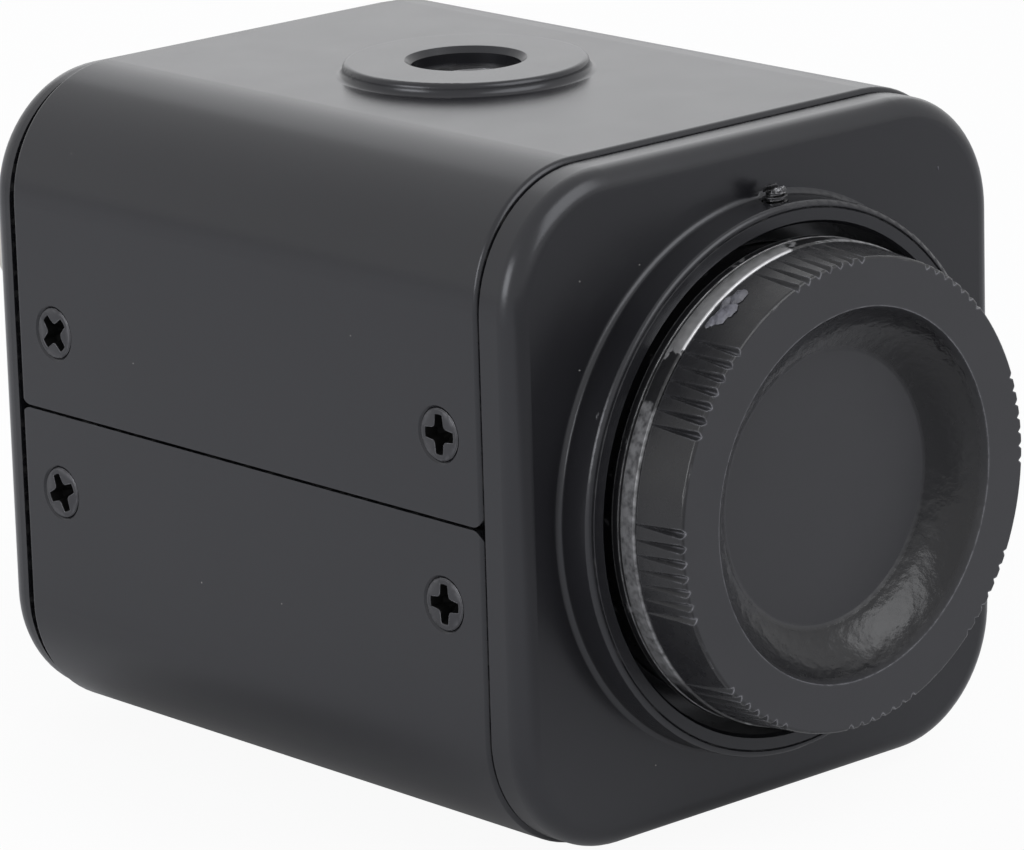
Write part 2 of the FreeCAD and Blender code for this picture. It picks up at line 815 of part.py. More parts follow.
# ---------------------------------------------------------------- rear connectors
def bnc_shell():
    """Bayonet socket's metal shell: barrel with two studs, flange, and the threaded neck inside."""
    chamfer = (bnc_barrel_radius - bnc_bore_radius) / 2
    shell = turned([
        (bnc_bore_radius, bnc_end),
        (bnc_barrel_radius - chamfer, bnc_end),
        (bnc_barrel_radius, bnc_end - chamfer),
        (bnc_barrel_radius, rear_face + bnc_flange),
        (bnc_flange_radius, rear_face + bnc_flange),
        (bnc_flange_radius, rear_face),
        (bnc_thread_radius, rear_face),
        (bnc_thread_radius, bnc_neck_end),
        (bnc_nose_radius, bnc_neck_end),
        (bnc_nose_radius, bnc_bore_end),
        (bnc_bore_radius, bnc_bore_end),
    ], bnc_x, bnc_z)
    reach = bnc_barrel_radius + bnc_stud_proud
    middle = (bnc_barrel_radius + bnc_bore_radius) / 2
    for side in (-1, 1):
        start = place(bnc_x + side * middle, bnc_end - bnc_stud_from_end, bnc_z)
        stud = Part.makeCylinder(bnc_stud_radius, reach - middle, start, FreeCAD.Vector(side, 0, 0))
        shell = shell.fuse(stud)
    return shell


save("bnc_shell", bnc_shell())
nose_end = bnc_bore_end + bnc_nose_length
insulator = rod(bnc_x, bnc_z, bnc_nose_radius, bnc_neck_end, nose_end)
save("bnc_insulator", insulator.cut(rod(bnc_x, bnc_z, bnc_contact_radius, bnc_neck_end, nose_end)))


def bnc_contact():
    """Centre contact: a socket at its mouth and a thin tail soldered in the rear board."""
    contact = rod(bnc_x, bnc_z, bnc_contact_radius, bnc_neck_end, nose_end)
    contact = contact.cut(rod(bnc_x, bnc_z, bnc_contact_bore, bnc_bore_end, nose_end))
    return contact.fuse(rod(bnc_x, bnc_z, bnc_tail_radius, rear_board_back, bnc_neck_end))


save("bnc_contact", bnc_contact())
bnc_hole = rod(bnc_x, bnc_z, bnc_thread_radius + thread_gap, washer_y - bnc_nut, rear_plate_front)
save("bnc_washer", rod(bnc_x, bnc_z, bnc_washer_radius, washer_y, rear_plate_front).cut(bnc_hole))
save("bnc_nut", hexagon(bnc_x, bnc_z, bnc_nut_across, washer_y - bnc_nut, washer_y).cut(bnc_hole))


def power_jack():
    """Moulded power socket on the rear board, with a slot for its spring leaf."""
    body = block(jack_x, jack_z, jack_size, jack_size, rear_board_back, jack_front)
    bore = rod(jack_x, jack_z, jack_bore_radius, jack_floor, jack_front)
    slot = block(jack_x, jack_z + jack_bore_radius, jack_leaf_width, 2 * jack_leaf,
                 jack_floor, jack_front - jack_leaf_from_front)
    return body.cut([bore, slot])


def power_jack_leaf():
    """Spring contact in the jack's slot, flush with the bore."""
    level = jack_z + jack_bore_radius + jack_leaf / 2
    end = jack_front - jack_leaf_from_front - slip_gap
    return block(jack_x, level, jack_leaf_width - slip_gap, jack_leaf, jack_floor, end)


save("power_jack", power_jack())
save("power_jack_pin", rod(jack_x, jack_z, jack_pin_radius, jack_floor, jack_floor + jack_pin_length))
save("power_jack_leaf", power_jack_leaf())


def power_led():
    """Three millimetre lamp with a domed end that looks out of the rear panel."""
    shoulder = led_end - led_radius
    return turned([
        (0, led_seat),
        (led_radius, led_seat),
        (led_radius, shoulder),
        arc_middle(led_radius, shoulder, 0, led_end, 0, shoulder),
        (0, led_end),
    ], led_x, led_z)


save("power_led", power_led())
led_spacer = rod(led_x, led_z, led_spacer_radius, rear_board_back, led_seat)
save("led_spacer", led_spacer.cut(rod(led_x, led_z, led_spacer_bore, rear_board_back, led_seat)))


# ---------------------------------------------------------------- menu buttons
def switch_body(x, z):
    """Body of a push switch on the rear board, with the pocket that its stem slides in."""
    front = rear_board_back + switch_height
    body = block(x, z, switch_size, switch_size, rear_board_back, front)
    return body.cut(rod(x, z, button_radius + button_gap, front - switch_pocket, front))


def button(x, z):
    """Switch stem that comes out through the rear panel, its edge rounded."""
    start = rear_board_back + switch_height - switch_pocket + button_travel + button_stop_gap
    end = rear_face + button_proud
    stem = rod(x, z, button_radius, start, end)
    return stem.makeFillet(button_edge_round, [e for e in stem.Edges if e.BoundBox.YMin > end - 0.01])


save("switch_bodies", *[switch_body(x, z) for x, z in button_places.values()])
for button_name, (spot_x, spot_z) in button_places.items():
    save(button_name + "_button", button(spot_x, spot_z))
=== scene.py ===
"""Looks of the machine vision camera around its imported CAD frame.

Blender works in metres, with +Z up and the camera's front towards -Y. Sizes here are in
millimetres, unless a docstring says otherwise."""

import json
import math

import bmesh
import bpy
from mathutils import Matrix, Vector, noise


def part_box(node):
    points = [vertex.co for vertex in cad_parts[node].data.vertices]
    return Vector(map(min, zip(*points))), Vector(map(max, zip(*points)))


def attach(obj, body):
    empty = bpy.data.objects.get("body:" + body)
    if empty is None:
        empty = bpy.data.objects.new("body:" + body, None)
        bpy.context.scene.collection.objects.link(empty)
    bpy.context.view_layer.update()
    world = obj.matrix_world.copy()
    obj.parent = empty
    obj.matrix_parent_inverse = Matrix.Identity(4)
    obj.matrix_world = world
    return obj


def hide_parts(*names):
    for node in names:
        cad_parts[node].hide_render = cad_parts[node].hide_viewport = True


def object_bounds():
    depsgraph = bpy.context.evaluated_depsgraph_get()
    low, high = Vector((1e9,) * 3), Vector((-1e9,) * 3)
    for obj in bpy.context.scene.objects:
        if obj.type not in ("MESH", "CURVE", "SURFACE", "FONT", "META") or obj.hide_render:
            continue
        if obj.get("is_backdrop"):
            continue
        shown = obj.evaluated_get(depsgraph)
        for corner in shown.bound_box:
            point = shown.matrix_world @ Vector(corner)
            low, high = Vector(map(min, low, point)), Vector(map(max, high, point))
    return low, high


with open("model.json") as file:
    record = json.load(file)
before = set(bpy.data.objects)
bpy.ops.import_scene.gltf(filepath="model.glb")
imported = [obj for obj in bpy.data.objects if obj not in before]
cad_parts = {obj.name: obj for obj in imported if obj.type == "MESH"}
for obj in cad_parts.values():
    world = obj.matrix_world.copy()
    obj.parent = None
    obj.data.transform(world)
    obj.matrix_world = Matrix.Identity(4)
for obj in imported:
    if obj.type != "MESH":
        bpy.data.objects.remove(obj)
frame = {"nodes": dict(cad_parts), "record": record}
cad_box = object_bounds()

MM = 0.001  # a millimetre in metres
mounts = {mount["name"]: mount for mount in frame["record"]["mounts"]}
lens_axis = Vector(mounts["lens_mount"]["pos_m"])
bezel_low, bezel_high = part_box("front_bezel")

# ---------------------------------------------------------------- driving sizes, in millimetres
COLLAR_HEIGHT = 2.6
COLLAR_RADIUS = 17.65
CAP_RADIUS = 15.3
CAP_HEIGHT = 8.0
DISH_RADIUS = 11.87
DISH_FLOOR = 8.7
RING_FRONT_FROM_FACE = 4.24
RING_LINE_FROM_FRONT = 1.3
C_MOUNT_RADIUS = 12.7
C_MOUNT_PITCH = 0.794
C_MOUNT_THREAD_RISE = 0.036
BODY_HALF_WIDTH = 21.0
BUSH_THREAD_RADIUS = 3.175
BUSH_THREAD_DEPTH = 0.42
BUSH_THREAD_PITCH = 1.27
BUSH_FLOOR = 0.6
SCREW_HEAD_RADIUS = 1.8
SCREW_TURNS = (0, 0, 31, 12, 24, 42, 68, 5)  # degrees; front, back; -X, +X; lower, upper
LOCK_SCREW_RADIUS = 0.78
LOCK_SCREW_PITCH = 0.35
LOCK_SCREW_PROUD = 0.92
SHARP_ANGLE = 38  # degrees between faces, from which an edge is drawn sharp
FACE_Y = bezel_low.y / MM + COLLAR_HEIGHT
AXIS_Z = lens_axis.z / MM
MIDDLE_Z = (bezel_low.z + bezel_high.z) / 2 / MM


# ---------------------------------------------------------------- camera, lamps and floor
def direction(azimuth, elevation):
    """Unit vector towards a viewer or lamp. Angles in degrees: azimuth 0 is in front, 90 at +X."""
    a = math.radians(azimuth)
    e = math.radians(elevation)
    return Vector((math.sin(a) * math.cos(e), -math.cos(a) * math.cos(e), math.sin(e)))


def set_camera():
    """The photograph's viewpoint: a long lens, from the front left and a little above.

    Angles in degrees, lengths in millimetres."""
    azimuth, elevation, roll = -42.243, 15.24, math.radians(-1.657)
    distance, shift_right, shift_down = 404.03, 1.268, 1.543
    target_behind_face = 25.2
    focal_length, sensor_width = 217.15, 36.0
    target = Vector((0, FACE_Y + target_behind_face, MIDDLE_Z)) * MM
    turned = math.radians(azimuth)
    right = Vector((math.cos(turned), math.sin(turned), 0))
    back = direction(azimuth, elevation)
    up = back.cross(right)
    across = right * math.cos(roll) + up * math.sin(roll)
    upright = up * math.cos(roll) - right * math.sin(roll)
    camera = bpy.data.objects.new("camera", bpy.data.cameras.new("camera"))
    camera.data.sensor_width = sensor_width
    camera.data.lens = focal_length
    camera.data.clip_start = 0.01
    camera.data.clip_end = 20.0
    position = target + (back * distance + across * shift_right - upright * shift_down) * MM
    turn = Matrix((across, upright, back)).transposed()
    camera.matrix_world = Matrix.Translation(position) @ turn.to_4x4()
    bpy.context.scene.collection.objects.link(camera)
    bpy.context.scene.camera = camera


def soft_lamp(name, azimuth, elevation, distance, size, power):
    """Square area lamp aimed at the body's middle, at the lens axis's height.

    Angles in degrees, the rest in metres and watts."""
    away = direction(azimuth, elevation)
    lamp = bpy.data.lights.new(name, "AREA")
    lamp.shape = "SQUARE"
    lamp.size = size
    lamp.energy = power
    lamp.color = (0.97, 0.98, 1.0)
    made = bpy.data.objects.new(name, lamp)
    made.location = Vector((0, 0, AXIS_Z)) * MM + away * distance
    made.rotation_mode = "QUATERNION"
    made.rotation_quaternion = away.to_track_quat("Z", "Y")
    bpy.context.scene.collection.objects.link(made)


def feed(tree, socket, value):
    """Sets a socket to a number or colour, or joins it to another node's output."""
    if isinstance(value, bpy.types.NodeSocket):
        tree.links.new(value, socket)
    else:
        socket.default_value = value


def white_to_camera(tree, plain, camera_share, mirrored_share):
    """Mixes a plain shader with white, for rays from the camera, off gloss and through glass."""
    path = tree.nodes.new("ShaderNodeLightPath")
    share = None
    for ray, amount in (
        ("Is Camera Ray", camera_share),
        ("Is Glossy Ray", mirrored_share),
        ("Is Transmission Ray", mirrored_share),
    ):
        part = tree.nodes.new("ShaderNodeMath")
        part.operation = "MULTIPLY"
        part.inputs[1].default_value = amount
        tree.links.new(path.outputs[ray], part.inputs[0])
        if share is None:
            share = part.outputs[0]
            continue
        largest = tree.nodes.new("ShaderNodeMath")
        largest.operation = "MAXIMUM"
        tree.links.new(share, largest.inputs[0])
        tree.links.new(part.outputs[0], largest.inputs[1])
        share = largest.outputs[0]
    mix = tree.nodes.new("ShaderNodeMixShader")
    tree.links.new(share, mix.inputs[0])
    tree.links.new(plain, mix.inputs[1])
    return mix


def set_world():
    """Even soft light from all round, white where it is looked at."""
    world = bpy.data.worlds.new("studio")
    world.use_nodes = True
    tree = world.node_tree
    plain = tree.nodes["Background"]
    plain.inputs["Color"].default_value = (0.97, 0.98, 1.04, 1)
    plain.inputs["Strength"].default_value = 0.5
    white = tree.nodes.new("ShaderNodeBackground")
    white.inputs["Color"].default_value = (1, 1, 1, 1)
    mix = white_to_camera(tree, plain.outputs[0], camera_share=1.0, mirrored_share=0.8)
    tree.links.new(white.outputs[0], mix.inputs[2])
    tree.links.new(mix.outputs[0], tree.nodes["World Output"].inputs["Surface"])
    bpy.context.scene.world = world


def floor_tone_with_painted_shade(tree):
    """Grey of the table: pale, with painted shade close to the object and a painted falloff of
    light towards the front right. Metres.
    """
    where = tree.nodes.new("ShaderNodeTexCoord")

    def along(way, start, end, low, high):
        """Tone from low to high between two distances along a way, or out from the middle."""
        towards = tree.nodes.new("ShaderNodeVectorMath")
        towards.operation = "DOT_PRODUCT" if way else "LENGTH"
        tree.links.new(where.outputs["Object"], towards.inputs[0])
        if way:
            towards.inputs[1].default_value = way
        fall = tree.nodes.new("ShaderNodeMapRange")
        fall.interpolation_type = "SMOOTHSTEP"
        for slot, value in enumerate((towards.outputs["Value"], start, end, low, high)):
            feed(tree, fall.inputs[slot], value)
        return fall.outputs[0]

    back_right, front_right = (0.74, 0.672, 0), (0.672, -0.74, 0)
    # Painted falloff of light: the table is painted darker towards the front right, down to a grey
    # that changes sideways.
    painted_falloff_sideways = along(back_right, start=-0.03, end=-0.002, low=0.42, high=0.75)
    front = along(front_right, start=0.015, end=0.06, low=0.96, high=painted_falloff_sideways)
    # Painted contact shade: the table is painted darker close to the object.
    painted_contact_shade = along(None, start=0.022, end=0.036, low=0.6, high=1.0)
    tone = tree.nodes.new("ShaderNodeMath")
    tone.operation = "MULTIPLY"
    feed(tree, tone.inputs[0], front)
    feed(tree, tone.inputs[1], painted_contact_shade)
    return tone.outputs[0]


def set_floor():
    """Pale table with painted shade near the object, which also keeps the object's rendered
    shadow, a hair below the lower boss. Metres.
    """
    mesh = bpy.data.meshes.new("floor")
    reach = 4.0
    gap = 0.02 * MM
    corners = [(-reach, -reach, 0), (reach, -reach, 0), (reach, reach, 0), (-reach, reach, 0)]
    mesh.from_pydata(corners, [], [(0, 1, 2, 3)])
    floor = bpy.data.objects.new("floor", mesh)
    bpy.context.scene.collection.objects.link(floor)
    material = bpy.data.materials.new("floor")
    material.use_nodes = True
    tree = material.node_tree
    shader = tree.nodes["Principled BSDF"]
    shader.inputs["Roughness"].default_value = 0.9
    shader.inputs["Specular IOR Level"].default_value = 0.1
    tree.links.new(floor_tone_with_painted_shade(tree), shader.inputs["Base Color"])
    white = tree.nodes.new("ShaderNodeEmission")
    mix = white_to_camera(tree, shader.outputs[0], camera_share=0.94, mirrored_share=0.1)
    tree.links.new(white.outputs[0], mix.inputs[2])
    tree.links.new(mix.outputs[0], tree.nodes["Material Output"].inputs["Surface"])
    mesh.materials.append(material)
    floor.location.z = -gap
    floor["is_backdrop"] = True


def set_light():
    """One large lamp in front, one at the left and a weak one behind, under an even sky."""
    set_world()
    soft_lamp("key", azimuth=14, elevation=41, distance=0.9, size=0.7, power=3.7)
    soft_lamp("fill", azimuth=-95, elevation=18, distance=0.9, size=0.4, power=2.2)
    soft_lamp("back", azimuth=138, elevation=28, distance=0.9, size=0.7, power=0.68)
    bpy.context.scene.view_settings.view_transform = "Standard"


# ---------------------------------------------------------------- material building
class Finish:
    """A Principled material under construction. Lengths are in millimetres."""

    def __init__(self, name, color, roughness, metallic=0.0, ior=1.45):
        self.material = bpy.data.materials.new(name)
        self.material.use_nodes = True
        self.tree = self.material.node_tree
        self.shader = self.tree.nodes["Principled BSDF"]
        self.shader.inputs["Base Color"].default_value = (*color, 1)
        self.shader.inputs["Roughness"].default_value = roughness
        self.shader.inputs["Metallic"].default_value = metallic
        self.shader.inputs["IOR"].default_value = ior
        where = self.tree.nodes.new("ShaderNodeTexCoord").outputs["Object"]
        self.place = self.tree.nodes.new("ShaderNodeVectorMath")
        self.place.operation = "SCALE"
        self.place.inputs["Scale"].default_value = 1 / MM
        self.tree.links.new(where, self.place.inputs[0])
        self.height = None

    def feed(self, socket, value):
        feed(self.tree, socket, value)

    def node(self, kind, **settings):
        made = self.tree.nodes.new(kind)
        for name, value in settings.items():
            setattr(made, name, value)
        return made

    def math(self, operation, a, b=0.0):
        made = self.node("ShaderNodeMath", operation=operation)
        self.feed(made.inputs[0], a)
        self.feed(made.inputs[1], b)
        return made.outputs[0]

    def ramp(self, value, low, high, start=0.0, end=1.0):
        """Value from low to high turned into start to end, and held outside them."""
        made = self.node("ShaderNodeMapRange", clamp=True)
        for slot, number in enumerate((value, low, high, start, end)):
            self.feed(made.inputs[slot], number)
        return made.outputs[0]

    def times(self, a, b):
        return self.math("MULTIPLY", a, b)

    def mix(self, share, a, b):
        """Colour between a and b, each of them a colour or another node's output."""
        made = self.node("ShaderNodeMix", data_type="RGBA")
        self.feed(made.inputs["Factor"], share)
        for slot, color in ((6, a), (7, b)):
            self.feed(made.inputs[slot], (*color, 1) if isinstance(color, tuple) else color)
        return made.outputs[2]

    def blend(self, share, a, b):
        """Number between a and b."""
        made = self.node("ShaderNodeMix", data_type="FLOAT")
        self.feed(made.inputs["Factor"], share)
        self.feed(made.inputs[2], a)
        self.feed(made.inputs[3], b)
        return made.outputs[0]

    def noise(self, size, detail=2.0, stretch=(1, 1, 1)):
        """Soft noise whose lumps are about size across."""
        mapping = self.node("ShaderNodeMapping")
        mapping.inputs["Scale"].default_value = stretch
        self.tree.links.new(self.place.outputs[0], mapping.inputs["Vector"])
        made = self.node("ShaderNodeTexNoise")
        made.inputs["Scale"].default_value = 1 / size
        made.inputs["Detail"].default_value = detail
        self.tree.links.new(mapping.outputs[0], made.inputs["Vector"])
        return made.outputs[0]

    def mottle(self, size, a, b, detail=2.0):
        """Colour that wanders between a and b, over patches about size across."""
        return self.mix(self.noise(size, detail), a, b)

    def waver(self, size, low, high, detail=3.0):
        """Number that wanders between low and high, over patches about size across."""
        return self.ramp(self.noise(size, detail), 0.3, 0.7, low, high)

    def specks(self, spacing, radius, share):
        """Small round spots, one in some of the cells of a random pattern."""
        cells = self.node("ShaderNodeTexVoronoi")
        cells.inputs["Scale"].default_value = 1 / spacing
        self.tree.links.new(self.place.outputs[0], cells.inputs["Vector"])
        inside = self.ramp(cells.outputs["Distance"], radius / spacing, 0.6 * radius / spacing)
        split = self.node("ShaderNodeSeparateColor")
        self.tree.links.new(cells.outputs["Color"], split.inputs[0])
        chosen = self.math("LESS_THAN", split.outputs[0], share)
        return self.times(inside, chosen)

    def from_axis(self):
        """Offset from the lens axis, square to it."""
        flat = self.node("ShaderNodeVectorMath", operation="MULTIPLY_ADD")
        self.tree.links.new(self.place.outputs[0], flat.inputs[0])
        flat.inputs[1].default_value = (1, 0, 1)
        flat.inputs[2].default_value = (0, 0, -AXIS_Z)
        return flat.outputs[0]

    def axis_radius(self):
        """Distance from the lens axis."""
        length = self.node("ShaderNodeVectorMath", operation="LENGTH")
        self.tree.links.new(self.from_axis(), length.inputs[0])
        return length.outputs["Value"]

    def axis_facing(self, way):
        """One where the surface lies that way from the lens axis, minus one on its far side."""
        outward = self.node("ShaderNodeVectorMath", operation="NORMALIZE")
        self.tree.links.new(self.from_axis(), outward.inputs[0])
        towards = self.node("ShaderNodeVectorMath", operation="DOT_PRODUCT")
        self.tree.links.new(outward.outputs[0], towards.inputs[0])
        towards.inputs[1].default_value = way
        return towards.outputs["Value"]

    def along_axis(self):
        """Place along the lens axis, towards the back."""
        split = self.node("ShaderNodeSeparateXYZ")
        self.tree.links.new(self.place.outputs[0], split.inputs[0])
        return split.outputs["Y"]

    def edges(self, radius):
        """One on sharp outer edges and their like, fading to zero away from them."""
        bevel = self.node("ShaderNodeBevel", samples=6)
        bevel.inputs["Radius"].default_value = radius * MM
        surface = self.node("ShaderNodeNewGeometry")
        dot = self.node("ShaderNodeVectorMath", operation="DOT_PRODUCT")
        self.tree.links.new(bevel.outputs[0], dot.inputs[0])
        self.tree.links.new(surface.outputs["True Normal"], dot.inputs[1])
        return self.ramp(self.math("SUBTRACT", 1.0, dot.outputs["Value"]), 0.02, 0.25)

    def hollows(self, distance):
        """One deep in corners and gaps, zero in the open."""
        shade = self.node("ShaderNodeAmbientOcclusion", samples=8)
        shade.inputs["Distance"].default_value = distance * MM
        return self.ramp(shade.outputs["AO"], 0.75, 0.25)

    def raised(self, height, amount):
        """Adds a relief of a given height in millimetres to the surface."""
        bump = self.node("ShaderNodeBump")
        bump.inputs["Strength"].default_value = 1.0
        bump.inputs["Distance"].default_value = amount * MM
        self.feed(bump.inputs["Height"], height)
        if self.height is not None:
            self.tree.links.new(self.height, bump.inputs["Normal"])
        self.height = bump.outputs[0]

    def color(self, value):
        self.feed(self.shader.inputs["Base Color"], value)

    def roughness(self, value):
        self.feed(self.shader.inputs["Roughness"], value)

    def metallic(self, value):
        self.feed(self.shader.inputs["Metallic"], value)

    def done(self):
        if self.height is not None:
            self.tree.links.new(self.height, self.shader.inputs["Normal"])
        return self.material


DUST = (0.34, 0.33, 0.31)
GRAIN = 0.3


def satin_paint():
    """Fine black stove paint on metal: faint orange peel, rubbed edges, a little dust."""
    finish = Finish("satin_paint", (0.011, 0.011, 0.0125), 0.3, ior=1.5)
    black = finish.mottle(9.0, (0.0100, 0.0100, 0.0115), (0.0125, 0.0125, 0.0145))
    rubbed = finish.times(finish.edges(0.25), finish.ramp(finish.noise(1.6, 4), 0.45, 0.7))
    black = finish.mix(finish.times(rubbed, 0.5), black, (0.06, 0.06, 0.063))
    dusty = finish.ramp(finish.noise(0.8, 4), 0.5, 0.8, 0, 0.25)
    black = finish.mix(finish.times(finish.hollows(0.6), dusty), black, DUST)
    finish.color(finish.mix(finish.specks(3.4, 0.05, 0.25), black, DUST))
    finish.shader.inputs["Specular Tint"].default_value = (0.95, 0.96, 1.0, 1)
    finish.roughness(finish.waver(5.0, 0.235, 0.255))
    finish.raised(finish.noise(0.22, 2), 0.003)
    finish.raised(finish.noise(0.06, 1), 0.0015)
    return finish.done()


def cap_plastic():
    """Moulded black plastic: satin face; glossier dish wall, painted lighter upper left and darker
    lower right as painted light and shade; grip painted darker as painted shade; pale edges near
    the front rim, part wear, part painted highlight; all a little scuffed.
    """
    finish = Finish("cap_plastic", (0.02, 0.02, 0.023), 0.42, ior=1.46)
    radius = finish.axis_radius()
    face = finish.mottle(6.0, (0.033, 0.033, 0.036), (0.038, 0.038, 0.042))
    # The grip is painted darker than the face, as painted shade.
    grip = finish.ramp(radius, CAP_RADIUS - 0.55, CAP_RADIUS - 0.4)
    black = finish.mix(grip, face, (0.012, 0.012, 0.0135))
    beyond_floor = finish.ramp(radius, DISH_FLOOR - 0.1, DISH_FLOOR + 0.3)
    within_dish = finish.ramp(radius, DISH_RADIUS + 0.1, DISH_RADIUS - 0.3)
    wall = finish.times(beyond_floor, within_dish)
    # Painted light and shade on the dish wall: lighter at its upper left, darker towards the lower
    # right.
    lower_right = (0.8, 0, -0.6)
    painted_shade_lower_right = finish.ramp(finish.axis_facing(lower_right), -0.75, 0.1)
    dish = finish.mix(painted_shade_lower_right, (0.03, 0.03, 0.033), (0.01, 0.01, 0.0115))
    black = finish.mix(wall, black, dish)
    # Pale rubbed edges, strongest near the front rim: part wear, part a painted highlight along
    # the rim.
    patchy = finish.ramp(finish.noise(0.5, 4), 0.36, 0.55, 0.35, 1.0)
    rubbed = finish.times(finish.edges(0.22), patchy)
    front = FACE_Y - CAP_HEIGHT
    near_front = finish.ramp(finish.along_axis(), front + 1.2, front + 0.4, 0.12, 0.9)
    rubbed = finish.times(rubbed, near_front)
    black = finish.mix(rubbed, black, (0.3, 0.3, 0.32))
    finish.color(finish.mix(finish.specks(2.6, 0.05, 0.2), black, DUST))
    satin = finish.waver(2.4, 0.37, 0.45, 4)
    gloss = finish.ramp(finish.noise(0.9, 4), 0.35, 0.65, 0.2, 0.28)
    glossy = finish.math("MAXIMUM", wall, finish.times(grip, 0.8))
    finish.roughness(finish.blend(glossy, satin, gloss))
    finish.raised(finish.noise(0.18, 2), 0.003)
    finish.raised(finish.times(finish.noise(0.9, 4), wall), 0.09)
    return finish.done()


def worn_ring():
    """Black anodised aluminium, rubbed bare at its edges and upper left, thinly on the left."""
    finish = Finish("worn_ring", (0.03, 0.03, 0.032), 0.3, metallic=1.0)
    upper_left = (-0.423, 0, 0.906)
    torn = finish.waver(0.9, -0.03, 0.03, 5)
    reach = finish.math("ADD", finish.axis_facing(upper_left), torn)
    upper = finish.ramp(reach, 0.925, 0.935)
    left = finish.times(finish.ramp(reach, 0.83, 0.81), finish.ramp(reach, -0.35, -0.2))
    scuffed = finish.ramp(finish.noise(0.5, 4), 0.3, 0.6, 0.08, 0.45)
    patch = finish.math("MAXIMUM", upper, finish.times(left, scuffed))
    line = FACE_Y - RING_FRONT_FROM_FACE + RING_LINE_FROM_FRONT
    patch = finish.times(patch, finish.ramp(finish.along_axis(), line, line - 0.08))
    spots = finish.times(finish.ramp(finish.noise(1.3, 5), 0.64, 0.7), 0.4)
    patchy = finish.ramp(finish.noise(0.8, 4), 0.35, 0.55, 0.3, 1.0)
    rubbed = finish.times(finish.edges(0.2), patchy)
    worn = finish.math("MAXIMUM", finish.math("MAXIMUM", rubbed, patch), spots)
    bare = finish.mottle(0.6, (0.36, 0.36, 0.365), (0.6, 0.6, 0.61), 5)
    finish.color(finish.mix(worn, (0.012, 0.012, 0.013), bare))
    finish.metallic(worn)
    smooth = finish.waver(0.5, 0.26, 0.36, 4)
    finish.roughness(finish.math("ADD", smooth, finish.times(worn, 0.16)))
    finish.raised(finish.noise(0.12, 2, stretch=(0.2, 4, 0.2)), 0.002)
    return finish.done()


def black_screw():
    """Blackened steel, rubbed at the rims, with painted shade making it near black in hollows and
    down in its recess.
    """
    finish = Finish("black_screw", (0.02, 0.02, 0.022), 0.35, metallic=0.6)
    worn = finish.times(finish.edges(0.1), finish.ramp(finish.noise(0.4, 3), 0.35, 0.6))
    steel = finish.mix(worn, (0.05, 0.05, 0.054), (0.36, 0.36, 0.38))
    # Painted shade: the steel is painted near black where it is hollow.
    finish.color(finish.mix(finish.hollows(0.7), steel, (0.003, 0.003, 0.003)))
    finish.roughness(finish.waver(0.4, 0.28, 0.45))
    finish.raised(finish.noise(0.1, 2), 0.003)
    return finish.done()


def recess_painted_shade():
    """Painted shade down in a screw's recess: near black, with almost no gloss."""
    finish = Finish("recess_painted_shade", (0.002, 0.002, 0.002), 0.7)
    finish.shader.inputs["Specular IOR Level"].default_value = 0.05
    finish.color(finish.mottle(0.3, (0.0015, 0.0015, 0.0015), (0.004, 0.004, 0.004)))
    finish.roughness(finish.waver(0.3, 0.6, 0.8, 2))
    finish.raised(finish.noise(0.1), 0.01)
    return finish.done()


def worn_screw():
    """Black steel with chewed, bright edges."""
    finish = Finish("worn_screw", (0.3, 0.3, 0.31), 0.3, metallic=1.0)
    finish.color(finish.mix(finish.edges(0.06), (0.05, 0.05, 0.052), (0.5, 0.5, 0.52)))
    finish.roughness(finish.waver(0.3, 0.22, 0.4))
    finish.raised(finish.noise(0.12, 3), 0.02)
    return finish.done()


def dust():
    """Loose grey specks."""
    finish = Finish("dust", DUST, 0.9)
    finish.color(finish.mottle(0.2, (0.26, 0.25, 0.24), (0.4, 0.39, 0.37)))
    finish.roughness(finish.waver(0.2, 0.8, 0.95, 2))
    finish.raised(finish.noise(0.05), 0.01)
    return finish.done()


def torn_flash():
    """Black plastic torn pale."""
    finish = Finish("torn_flash", (0.3, 0.3, 0.34), 0.38)
    finish.color(finish.mottle(0.35, (0.04, 0.04, 0.045), (0.23, 0.23, 0.265), 4))
    finish.roughness(finish.waver(0.4, 0.3, 0.5))
    finish.raised(finish.noise(0.25, 4), 0.08)
    return finish.done()


def flash_edge():
    """The thinner, darker ends of a tear."""
    finish = Finish("flash_edge", (0.09, 0.09, 0.1), 0.35)
    finish.color(finish.mottle(0.4, (0.04, 0.04, 0.045), (0.16, 0.16, 0.18), 4))
    finish.roughness(finish.waver(0.4, 0.25, 0.45))
    finish.raised(finish.noise(0.2, 4), 0.06)
    return finish.done()


def plain_metal(name, color, roughness):
    """Bare or plated metal with a fine tooled grain."""
    finish = Finish(name, color, roughness, metallic=1.0)
    lighter = tuple(min(1, 1.15 * c) for c in color)
    finish.color(finish.mottle(2.0, color, lighter, 3))
    finish.roughness(finish.waver(GRAIN, 0.8 * roughness, 1.25 * roughness))
    finish.raised(finish.noise(GRAIN, 2), 0.002)
    return finish.done()


def plain_plastic(name, color, roughness):
    """Moulded plastic, ceramic or rubber with a fine grain."""
    finish = Finish(name, color, roughness)
    lighter = tuple(min(1, 1.2 * c + 0.002) for c in color)
    finish.color(finish.mottle(2.0, color, lighter, 3))
    finish.roughness(finish.waver(GRAIN, 0.85 * roughness, 1.15 * roughness))
    finish.raised(finish.noise(GRAIN, 2), 0.003)
    return finish.done()


def circuit_board():
    """Green solder mask over faint copper traces."""
    finish = Finish("circuit_board", (0.01, 0.07, 0.03), 0.35)
    traces = finish.ramp(finish.noise(1.2, 0, stretch=(1, 1, 0.2)), 0.5, 0.52)
    finish.color(finish.mix(traces, (0.008, 0.06, 0.025), (0.015, 0.1, 0.04)))
    finish.roughness(finish.waver(0.8, 0.3, 0.42))
    finish.raised(traces, 0.01)
    return finish.done()


def glass(name, tint):
    """Clear glass, tinted through its colour."""
    finish = Finish(name, tint, 0.02, ior=1.52)
    finish.shader.inputs["Transmission Weight"].default_value = 1.0
    finish.roughness(finish.waver(2.0, 0.02, 0.04))
    return finish.done()


